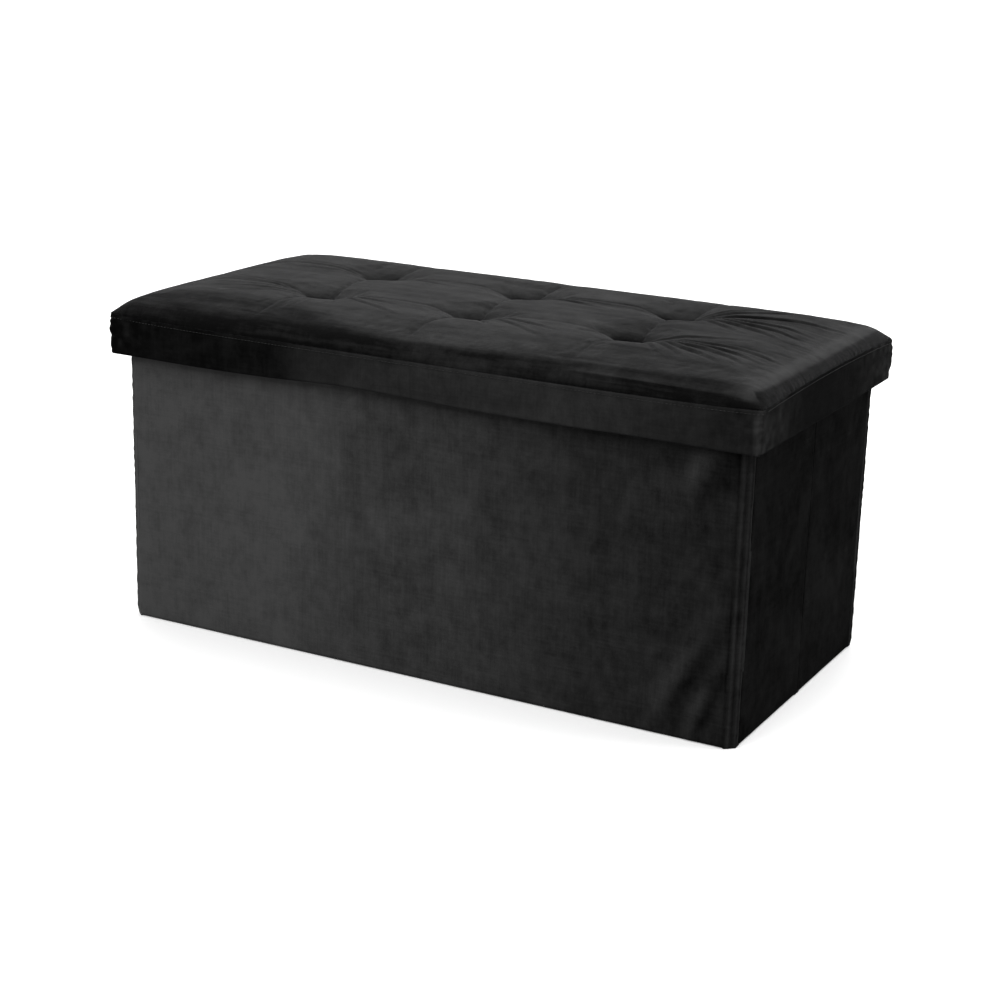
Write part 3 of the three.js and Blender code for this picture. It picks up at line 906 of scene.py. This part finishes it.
def makeSkirt():
    # section from under the seam, down the outside, round the foot and up inside the rail to the
    # lining, carried round the lid; the foot wavers, and the velvet gathers near the corner seams
    path = lidOutline(0, lid["step"])
    outward = -leftOf(path, closed=True)
    count = len(path)
    top = seamHeight(path[:, 0], path[:, 1]) - 0.4 * mm
    drop = np.linspace(0, 1, 28)
    radius, foot, inner = skirt["radius"], skirt["foot"], -skirt["railWidth"]
    inside = np.linspace(foot + radius + 1 * mm, liningLevel - 0.6 * mm, 8)
    under = np.concatenate([arc((-radius, foot + radius), radius, 0, -90, 6)[1:],
                            arc((inner + radius, foot + radius), radius, -90, -180, 6),
                            np.stack([np.full(8, inner), inside], -1)])
    sideDown = top[:, None] + (foot + radius - top[:, None]) * drop[None]
    alongSide = np.exp(-((path[:, :1] + 0.07) / 0.09) ** 2) * (np.abs(path[:, 1:]) > lidY - 2 * mm)
    waver = skirt["wave"] * smoothNoise((count, 1), (26, 1), 5) + skirt["footRise"] * alongSide
    fromCorner = np.hypot(np.abs(path[:, 0]) - lidX, np.abs(path[:, 1]) - lidY)[:, None]
    size = (count, len(drop))
    ripple = skirt["ripple"] * smoothNoise(size, (110, 5), 6)
    ripple = ripple + skirt["slowRipple"] * smoothNoise(size, (30, 2), 7)
    nearEnd = np.clip((np.abs(path[:, :1]) - 0.30) / 0.08, 0, 1)
    pucker = smoothNoise((count, 1), (380, 1), 9) * np.exp(-drop * 9)[None]
    nearCorner = np.exp(-fromCorner / skirt["gatherReach"])
    gathers = skirt["gather"] * smoothNoise(size, (240, 11), 8) * nearCorner
    gathers = gathers + (0.35 + 0.5 * nearEnd) * mm * pucker
    belly = skirt["belly"] * np.sin(np.pi * drop)[None]
    # the rolled edges of the corner seam
    seam = skirt["cornerSeam"] * np.exp(-((fromCorner - 4.2 * mm) / (1.3 * mm)) ** 2)
    push = (ripple + gathers + belly + seam) * np.sin(np.pi * np.clip(drop * 0.85 + 0.15, 0, 1))[None]
    welt = skirt["welt"] * np.exp(-((drop[None] * 40 - 2.0) / 1.6) ** 2)
    push = np.maximum(push, -0.3 * mm) + welt
    tuckOut = np.broadcast_to([-1.1 * mm, -0.35 * mm], (count, 2))
    tuckUp = top[:, None] + np.array([[0.3 * mm, 0.45 * mm]])
    size = (count, len(under))
    out = np.concatenate([tuckOut, push, np.broadcast_to(under[None, :, 0], size)], 1)
    share = np.clip((liningLevel - under[:, 1]) / (liningLevel - foot), 0, 1)
    side, turned = sideDown + waver * drop[None] ** 3, under[None, :, 1] + waver * share
    height = np.concatenate([tuckUp, side, turned], 1)
    section = np.stack([out, height], -1)
    normal = np.gradient(section, axis=1)
    normal /= np.linalg.norm(normal, axis=2, keepdims=True)
    normal = np.stack([-normal[..., 1], normal[..., 0]], -1)

    def surface(lift):
        line = section + normal * lift
        plan = path[:, None] + outward[:, None] * line[..., :1]
        return np.concatenate([plan, line[..., 1:]], -1)

    piece = thickSheet("lid_skirt", surface(0.0), surface(-skirt["thickness"]), skirtVelvet, wrapRows=True)
    # painted light: the slope of the ripples and gathers along the lid, with a painted highlight on the ends
    # near the corner seams
    tilt = np.zeros(section.shape[:2])
    # painted highlight: brighter on the ends near the corner seams
    paintedSeamHighlight = skirt["paintedSeamHighlight"] * np.exp(-(fromCorner / skirt["paintedSeamHighlightReach"]) ** 2)
    paintedSeamHighlight = paintedSeamHighlight * (1 + 0.8 * smoothNoise(push.shape, (300, 6), 12))
    onEnd = np.abs(path[:, :1]) > lidX - 1 * mm
    tilt[:, 2:2 + len(drop)] = (np.gradient(push, lid["step"], axis=0) + paintedSeamHighlight * onEnd).clip(-0.6, 0.6)
    paint(piece, "tilt", tilt)
    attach(piece, "lid")
    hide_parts("front_skirt", "back_skirt", "left_skirt", "right_skirt")
    row = path + outward * 0.45 * mm
    line = np.concatenate([row, (top - skirt["stitchDrop"])[:, None]], 1)
    facing = np.concatenate([outward, np.zeros((count, 1))], 1)
    line, facing = (np.concatenate([values, values[:1]]) for values in (line, facing))
    makeStitches("lid_seam_stitches", line, facing, "lid")


makeSkirt()
makeFlatCloth("lid_under_cloth", "lid_lining", "lid", False, 0.1 * mm)

seat = {
    "across": (420, 212),  # points along X and Y between the rims
    "rim": 20 * mm,  # width of the quick round edge
    "rimPoints": 26,
    "rimTop": 362.4 * mm,  # height at the top of the quick round edge
    "cornerSoft": 1.1,  # how much wider that edge is at a corner, as a share
    "crown": 375.2 * mm,
    "crownAlong": 100 * mm,  # how far in from an end the pad reaches its full height
    "crownAcross": 92 * mm,
    "pit": 19 * mm,
    "deepest": 27.5 * mm,
    "slit": 6 * mm,  # half the length of the flat bottom of a pit, along X
    "fold": 5 * mm,  # depth of the main pull folds where they leave a tuft
    "lip": 1.3 * mm,  # the cover hangs this far over the edge of the deck board
}
settle = {
    "across": (200, 100),
    "rimPoints": 8,
    "frames": 20,
    "pressure": 4.0,
    "spare": 0.008,  # extra cloth, as a share, which buckles into small pull folds
    "cap": 2.5 * mm,
}
tuft = {  # how it pulls the pad down: half sizes along X and Y, and the share of the pit
    "hole": (4 * mm, 3.4 * mm, 0.72),
    "narrow": (9 * mm, 6 * mm, 0.48),
    "wide": (30 * mm, 24 * mm, 0.30),
}
# painted shade on the seat: where it falls and how it fades
paintedShading = {
    "endBelow": 362.8 * mm,  # the ends get painted shade below this height
    "endFade": 2.2 * mm,
    "sideBelow": 360.5 * mm,
    "sideFade": 7 * mm,
    "patch": 52 * mm,  # the patch along the front left edge reaches this far in
    "patchWaver": 5 * mm,
    "patchFade": 26 * mm,
    "patchShare": 0.95,
    "beside": 9 * mm,  # how far it reaches beside a tuft, behind it and in front of it
    "behind": 10 * mm,
    "before": 3 * mm,
}
tuftPlaces = [corners(f"{row}_{column}_button") for row in ("front", "back")
              for column in ("left", "middle", "right")]
tuftPlaces = [tuple((low + high)[:2] / 2) for low, high in tuftPlaces]
tuftColumns = sorted({round(float(place[0]), 4) for place in tuftPlaces})
tuftRows = sorted({round(float(place[1]), 4) for place in tuftPlaces})


def alongCurve(x, y, start, bend, end, samples=24):
    # nearest place on a bent line through start and end: share along it, and signed distance
    t = np.linspace(0, 1, samples)[:, None]
    start, bend, end = (np.array(point, float) for point in (start, bend, end))
    curve = (1 - t) ** 2 * start + 2 * t * (1 - t) * bend + t ** 2 * end
    best = np.full(x.shape, 1e9)
    share = np.zeros(x.shape)
    side = np.zeros(x.shape)
    for index in range(samples - 1):
        leg = curve[index + 1] - curve[index]
        size = leg @ leg
        local = np.clip(((x - curve[index, 0]) * leg[0] + (y - curve[index, 1]) * leg[1]) / size, 0, 1)
        gapX = x - curve[index, 0] - local * leg[0]
        gapY = y - curve[index, 1] - local * leg[1]
        gapSquared = gapX ** 2 + gapY ** 2
        nearer = gapSquared < best
        best = np.where(nearer, gapSquared, best)
        share = np.where(nearer, (index + local) / (samples - 1), share)
        side = np.where(nearer, np.sign(leg[0] * gapY - leg[1] * gapX), side)
    return share, side * np.sqrt(best)


def pullFold(x, y, start, bend, end, reach, tail, both=False):
    # a valley with a sharp bottom, deepest at its start (or at both ends) and shallow further on:
    # strength * (0.52 exp(-|distance| / 9 mm) + 0.48 exp(-|distance| / 2 mm)),
    # with strength = fold * exp(-share / reach) + tail
    share, distance = alongCurve(x, y, start, bend, end)
    nearness = np.minimum(share, 1 - share) if both else share
    strength = seat["fold"] * np.exp(-nearness / reach) + tail
    if not both:
        strength *= np.clip((1 - share) / 0.2, 0, 1)
    distance = np.abs(distance)
    return -strength * (0.52 * np.exp(-distance / (9 * mm)) + 0.48 * np.exp(-distance / (2.0 * mm)))


def softFold(x, y, start, bend, end, depth, width):
    # a narrow crease with a ridge on one side, strongest in its first half
    share, distance = alongCurve(x, y, start, bend, end, 10)
    strength = depth * np.sin(np.pi * np.clip(share, 0, 1) ** 0.7) ** 0.9
    ratio = distance / (width * (0.7 + 0.8 * share))
    return strength * (-np.exp(-ratio ** 2) + 0.8 * np.exp(-(ratio - 1.6) ** 2))


def padShape(x, y):
    # the pad: a quick round edge, up to rimTop as sqrt(1 - (1 - inward / rim)^2), and on it a low crown,
    # 1 - (1 - inward)^2; then how far the tufts pull it down, in a wide dish and a narrow pit
    quick = slow = 1.0
    nearCorner = np.abs(x * y / (lidX * lidY)) ** 7
    rim = seat["rim"] * (1 + seat["cornerSoft"] * nearCorner)
    for place, half, reach in ((x, lidX, seat["crownAlong"]), (y, lidY, seat["crownAcross"])):
        inward = np.maximum(half - np.abs(place), 0)
        quick = quick * np.sqrt(1 - (1 - np.minimum(inward / rim, 1)) ** 2)
        slow = slow * (1 - (1 - np.minimum(inward / reach, 1)) ** 2)
    base = seamHeight(x, y)
    sag = np.zeros_like(x)
    for tuftX, tuftY in tuftPlaces:
        across = np.maximum(np.abs(x - tuftX) - seat["slit"], 0)
        dish = 0
        for name, power in (("narrow", 1), ("wide", 1.3), ("hole", 2)):
            halfX, halfY, share = tuft[name]
            dish = dish + share * np.exp(-np.hypot(across / halfX, (y - tuftY) / halfY) ** power)
        sag -= seat["pit"] * dish
    height = base + (seat["rimTop"] - base) * quick + (seat["crown"] - seat["rimTop"]) * slow
    return height, sag, np.clip(quick * 1.4 - 0.4, 0, 1)


def paintedShadingMask(x, y, height):
    # painted shade: 1 in the slit of each tuft, standing in for the shade deep in the pit, fading out further
    # behind it than in front; 1 low on the sides, except near the middle of the long ones; and nearly 1 in a
    # patch along the front left edge
    awayFromMiddle = np.clip((np.abs(x) - 0.12) / 0.2, 0, 1)
    ends = np.clip((paintedShading["endBelow"] - height) / paintedShading["endFade"], 0, 1)
    sides = np.clip((paintedShading["sideBelow"] - height) / paintedShading["sideFade"], 0, 1) * awayFromMiddle
    total = np.where(lidX - np.abs(x) < lidY - np.abs(y), ends, sides)
    patch = paintedShading["patch"] * np.clip((0.02 - x) / 0.2, 0, 1)
    patch = patch + paintedShading["patchWaver"] * smoothNoise(x.shape, (16, 8), 25)
    inPatch = np.clip((patch - (y + lidY)) / paintedShading["patchFade"] + 0.4, 0, 1)
    total = np.maximum(total, paintedShading["patchShare"] * inPatch)
    for tuftX, tuftY in tuftPlaces:
        across = np.maximum(np.abs(x - tuftX) - seat["slit"], 0) / paintedShading["beside"]
        behind = (y - tuftY) / np.where(y > tuftY, paintedShading["behind"], paintedShading["before"])
        total = np.maximum(total, np.exp(-(across ** 2 + behind ** 2)))
    return total


def mainFolds(x, y):
    # the pull folds between neighbouring tufts, and from the outer tufts to the ends and sides
    folds = np.zeros_like(x)
    slit = seat["slit"] + 1 * mm
    for tuftY in tuftRows:
        lean = -1 if tuftY < 0 else 1
        for left, right in zip(tuftColumns[:-1], tuftColumns[1:]):
            folds += pullFold(x, y, (left + slit, tuftY), ((left + right) / 2, tuftY + 4 * mm),
                              (right - slit, tuftY), 0.14, 1.7 * mm, both=True)
        for tuftX, way in ((tuftColumns[0], -1), (tuftColumns[-1], 1)):
            folds += pullFold(x, y, (tuftX + way * slit, tuftY), (tuftX + way * 80 * mm, tuftY + 3 * mm),
                              (tuftX + way * 172 * mm, tuftY + lean * 3 * mm), 0.18, 1.4 * mm)
        for tuftX in tuftColumns:
            folds += pullFold(x, y, (tuftX + lean * slit, tuftY), (tuftX + lean * 17 * mm, tuftY * 1.7),
                              (tuftX + lean * 13 * mm, lean * (lidY - 10 * mm)), 0.28, 1.9 * mm)
    for tuftX in tuftColumns:
        folds += pullFold(x, y, (tuftX + slit, tuftRows[0]), (tuftX, 0), (tuftX - slit, tuftRows[1]),
                          0.20, 1.9 * mm, both=True)
    return folds


fans = {  # (tuft column, tuft row, way): degrees from X, length in mm, depth in mm
    (0, 0, -1): [(9, 120, 1.2), (-9, 130, 1.8), (-18, 115, 2.1), (-33, 100, 1.5)],
    (0, 1, -1): [(-7, 120, 1.5), (8, 110, 1.1)],
    (2, 0, 1): [(14, 110, 1.0), (-7, 160, 1.8), (-15, 150, 1.7), (-23, 145, 2.1), (-31, 130, 1.8),
                (-42, 105, 1.3), (-53, 90, 0.9)],
    (2, 1, 1): [(42, 90, 0.9), (28, 120, 1.2), (12, 165, 1.7), (-8, 150, 1.5), (-17, 145, 1.9),
                (-27, 140, 1.8), (-37, 110, 1.2)],
    (0, 0, 1): [(-27, 135, 1.1), (-15, 110, 0.9)],
    (1, 0, 1): [(-32, 130, 1.0), (-20, 115, 1.2), (-52, 60, 1.0)],
    (1, 1, 1): [(-19, 115, 1.1), (-9, 100, 0.7)],
    (0, 1, 1): [(-14, 100, 0.8)],
    (2, 1, -1): [(-12, 90, 0.8)],
}


def fineFolds(x, y):
    # narrow folds fanned out from the tufts
    total = np.zeros_like(x)
    for (column, row, way), fan in fans.items():
        for number, (degrees, reach, depth) in enumerate(fan):
            turn = math.radians(degrees)
            ahead = np.array([way * math.cos(turn), math.sin(turn)])
            start = np.array([tuftColumns[column] + way * seat["slit"], tuftRows[row]]) + ahead * 10 * mm
            end = start + ahead * reach * mm
            bend = (start + end) / 2 + np.array([0, (3.5 if number % 2 else -2.5) * mm])
            total += softFold(x, y, start, bend, end, 1.3 * depth * mm, 2.2 * mm)
    return total


def seatLines(grid):
    # places along X and Y: close steps round each rim, inward = rim * (1 - cos), even steps between
    rim = seat["rim"] * (1 - np.cos(np.linspace(0, math.pi / 2, grid["rimPoints"])))[:-1]
    lines = []
    for half, count in zip((lidX, lidY), grid["across"]):
        between = np.linspace(-half + seat["rim"], half - seat["rim"], count)
        lines.append(np.concatenate([-half + rim, between, (half - rim)[::-1]]))
    return lines


def seatPlan(grid):
    # plan positions, with the corners drawn in so that the outline is round there
    x, y = np.meshgrid(*seatLines(grid), indexing="ij")
    drawn = np.abs(x * y / (lidX * lidY)) ** 60 * 0.30 * lid["cornerRadius"]
    return x * (1 - drawn / lidX), y * (1 - drawn / lidY)


def limited(depth):
    # deep values are eased off so that none passes the deepest
    return -seat["deepest"] * np.tanh(np.maximum(-depth, 0) / seat["deepest"]) + np.maximum(depth, 0)


def settleCloth(top, under, held):
    # the cover as real cloth: spare fabric is blown up over the pad while its edge, its underside
    # and its tufts are held; no point moves further than the cap
    thing = thickSheet("settling", top, under, seatVelvet)
    count = held.size
    group = thing.vertex_groups.new(name="held")
    still = np.concatenate([np.flatnonzero(held.ravel()), np.arange(count, 2 * count)])
    group.add([int(index) for index in still], 1.0, "REPLACE")
    cloth = thing.modifiers.new("cloth", "CLOTH")
    cloth.settings.vertex_group_mass = "held"
    cloth.settings.use_pressure = True
    cloth.settings.uniform_pressure_force = settle["pressure"]
    cloth.settings.shrink_min = -settle["spare"]
    cloth.settings.effector_weights.gravity = 0
    cloth.settings.quality = 6
    cloth.settings.mass = 0.25
    cloth.settings.tension_stiffness = 25
    cloth.settings.compression_stiffness = 25
    cloth.settings.shear_stiffness = 8
    cloth.settings.bending_stiffness = 0.8
    cloth.settings.air_damping = 3
    cloth.collision_settings.use_collision = False
    cloth.point_cache.frame_start, cloth.point_cache.frame_end = 1, settle["frames"]
    for number in range(1, settle["frames"] + 1):
        bpy.context.scene.frame_set(number)
    flat = thing.evaluated_get(bpy.context.evaluated_depsgraph_get()).data
    places = np.empty(len(flat.vertices) * 3, np.float32)
    flat.vertices.foreach_get("co", places)
    moved = places.reshape(-1, 3)[:count].reshape(top.shape) - top
    bpy.context.scene.frame_set(1)
    bpy.data.objects.remove(thing)
    size = np.linalg.norm(moved, axis=2, keepdims=True)
    return moved * np.minimum(1, settle["cap"] / np.maximum(size, 1e-9))


def finer(values, coarse, fine):
    # vectors on a coarse grid read at the lines of a finer one, by cubic (Catmull-Rom) blending
    for axis in (0, 1):
        count = values.shape[axis]
        place = np.interp(fine[axis], coarse[axis], np.arange(count))
        cell = np.clip(place.astype(int), 0, count - 2)
        t = (place - cell).reshape([-1, 1, 1] if axis == 0 else [1, -1, 1])
        p0, p1, p2, p3 = (np.take(values, np.clip(cell + step, 0, count - 1), axis) for step in (-1, 0, 1, 2))
        values = 0.5 * (2 * p1 + (p2 - p0) * t + (2 * p0 - 5 * p1 + 4 * p2 - p3) * t ** 2
                        + (3 * p1 - p0 - 3 * p2 + p3) * t ** 3)
    return values


def settledMoves():
    # how far the cloth moved on the coarse grid, read on the fine one
    x, y = seatPlan(settle)
    height, sag, inner = padShape(x, y)
    height = height + limited(sag + 0.7 * mainFolds(x, y)) * inner
    top = np.stack([x, y, height], -1)
    under = np.stack([x, y, np.minimum(deckTop + 0.3 * mm, height - 0.4 * mm)], -1)
    held = np.minimum(lidX - np.abs(x), lidY - np.abs(y)) < 22 * mm
    for tuftX, tuftY in tuftPlaces:
        held |= (np.abs(x - tuftX) < seat["slit"] + 2 * mm) & (np.abs(y - tuftY) < 4 * mm)
    moved = settleCloth(top, under, held)
    print("seat cover settled, mean move", round(float(np.abs(moved).mean()) * 1000, 2), "mm")
    return finer(moved, seatLines(settle), seatLines(seat))


def makeSeat():
    # the pad as a tufted top, a lip hanging over the edge of the deck board, and a flat underside
    x, y = seatPlan(seat)
    height, sag, inner = padShape(x, y)
    folds = mainFolds(x, y) + fineFolds(x, y)
    height = height + limited(sag + folds) * inner
    height += 0.3 * mm * smoothNoise(x.shape, (34, 18), 21) * inner
    low = np.exp(-(height - seamHeight(x, y)) / (7 * mm))  # puckers gathered along the seam
    puckX = smoothNoise((x.shape[0], 1), (210, 1), 23)
    puckY = smoothNoise((1, x.shape[1]), (1, 110), 24)
    puckY = puckY * (0.5 + 0.5 * smoothNoise((1, x.shape[1]), (1, 18), 26))
    out = np.stack([0.6 * mm * low * puckY * (lidX - np.abs(x) < seat["rim"]) * np.sign(x),
                    0.5 * mm * low * puckX * (lidY - np.abs(y) < seat["rim"]) * np.sign(y),
                    np.zeros_like(x)], -1)
    below = (height - 356.5 * mm + 0.012 * (x - 0.19)) / (1.5 * mm)  # one long wrinkle above the front seam
    reach = np.clip((x - 0.17) / 0.04, 0, 1) * np.clip((0.355 - x) / 0.05, 0, 1) * (y < seat["rim"] - lidY)
    wrinkle = 1.5 * mm * reach * (np.exp(-(below - 1.7) ** 2) - np.exp(-below ** 2))
    out[..., 1] -= wrinkle
    out[..., 2] += 0.5 * wrinkle
    out[[0, -1], :, :] = 0
    out[:, [0, -1], :] = 0
    top = np.stack([x, y, height], -1) + out
    inward = np.minimum(lidX - np.abs(x), lidY - np.abs(y))
    top += settledMoves() * np.clip((inward - 24 * mm) / (45 * mm), 0.3, 1)[..., None]
    rows, columns = x.shape
    index = np.arange(rows * columns).reshape(rows, columns)
    rim = np.concatenate([index[:-1, 0], index[-1, :-1], index[:0:-1, -1], index[0, :0:-1]])
    lip = top.reshape(-1, 3)[rim].copy()
    lip[:, :2] *= 1 - seat["lip"] / np.array([lidX, lidY])
    lip[:, 2] = deckTop + 0.3 * mm
    ring = rows * columns + np.arange(len(rim))
    band = np.stack([rim, ring, np.roll(ring, -1), np.roll(rim, -1)], -1)
    points = np.concatenate([top.reshape(-1, 3), lip])
    quads = np.concatenate([gridQuads(rows, columns), band])
    piece = meshObject("seat_pad", points, quads, seatVelvet, ring[::-1])
    # painted shade in the fold valleys and a painted highlight on the fold ridges, joined with the painted
    # shade of the pits, sides and patch
    foldShading = np.clip(-folds / (11 * mm), -0.25, 0.4) * inner
    shadeMask = paintedShadingMask(x, y, height)
    paint(piece, "paintedShading", np.where(shadeMask > 0.05, np.maximum(shadeMask, foldShading), foldShading))
    # painted light: lighter where the pad slopes down to the back, darker where it slopes down to the front
    paint(piece, "tilt", np.tanh(-np.gradient(top[..., 2], axis=1) / np.gradient(y, axis=1)) * inner)
    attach(piece, "lid")
    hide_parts("seat_cover", "seat_foam")


makeSeat()

button = {"pleats": 14, "pleat": 0.25 * mm}


def makeButton(name):
    # a covered button: domed top 1 - share^2.5, rounded rim with small pleats, flat underneath
    low, high = corners(name)
    centre, radius = (low + high)[:2] / 2, float(high[0] - low[0]) / 2
    thickness = float(high[2] - low[2])
    share = np.concatenate([np.linspace(0.02, 0.9, 12), [0.97, 1.0, 1.0, 0.96, 0.85, 0.3, 0.02]])
    level = np.concatenate([1 - np.linspace(0.02, 0.9, 12) ** 2.5, [0.62, 0.45, 0.25, 0.08, 0.0, 0.0, 0.0]])
    turn = np.linspace(0, 2 * math.pi, 56, endpoint=False)[:, None]
    pleats = button["pleat"] * np.cos(turn * button["pleats"]) * np.clip(share - 0.75, 0, 1) * 4
    reach = radius * share + pleats * (level > 0)
    points = np.stack([centre[0] + reach * np.cos(turn), centre[1] + reach * np.sin(turn),
                       np.broadcast_to(low[2] + thickness * level, reach.shape)], -1)
    rows, columns = reach.shape
    first, last = np.arange(rows) * columns, np.arange(rows) * columns + columns - 1
    half = rows // 2
    back, backLast = first[:half - 1:-1], last[:half - 1:-1]
    caps = [np.stack([first[:half - 1], first[1:half], back[1:], back[:-1]], -1),
            np.stack([last[1:half], last[:half - 1], backLast[:-1], backLast[1:]], -1)]
    quads = np.concatenate([gridQuads(rows, columns, True, wrapRows=True), *caps])
    piece = meshObject(f"{name}_cover", points.reshape(-1, 3), quads, seatVelvet)
    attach(piece, "lid")
    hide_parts(name)


for rowName in ("front", "back"):
    for columnName in ("left", "middle", "right"):
        makeButton(f"{rowName}_{columnName}_button")
print("lid done")
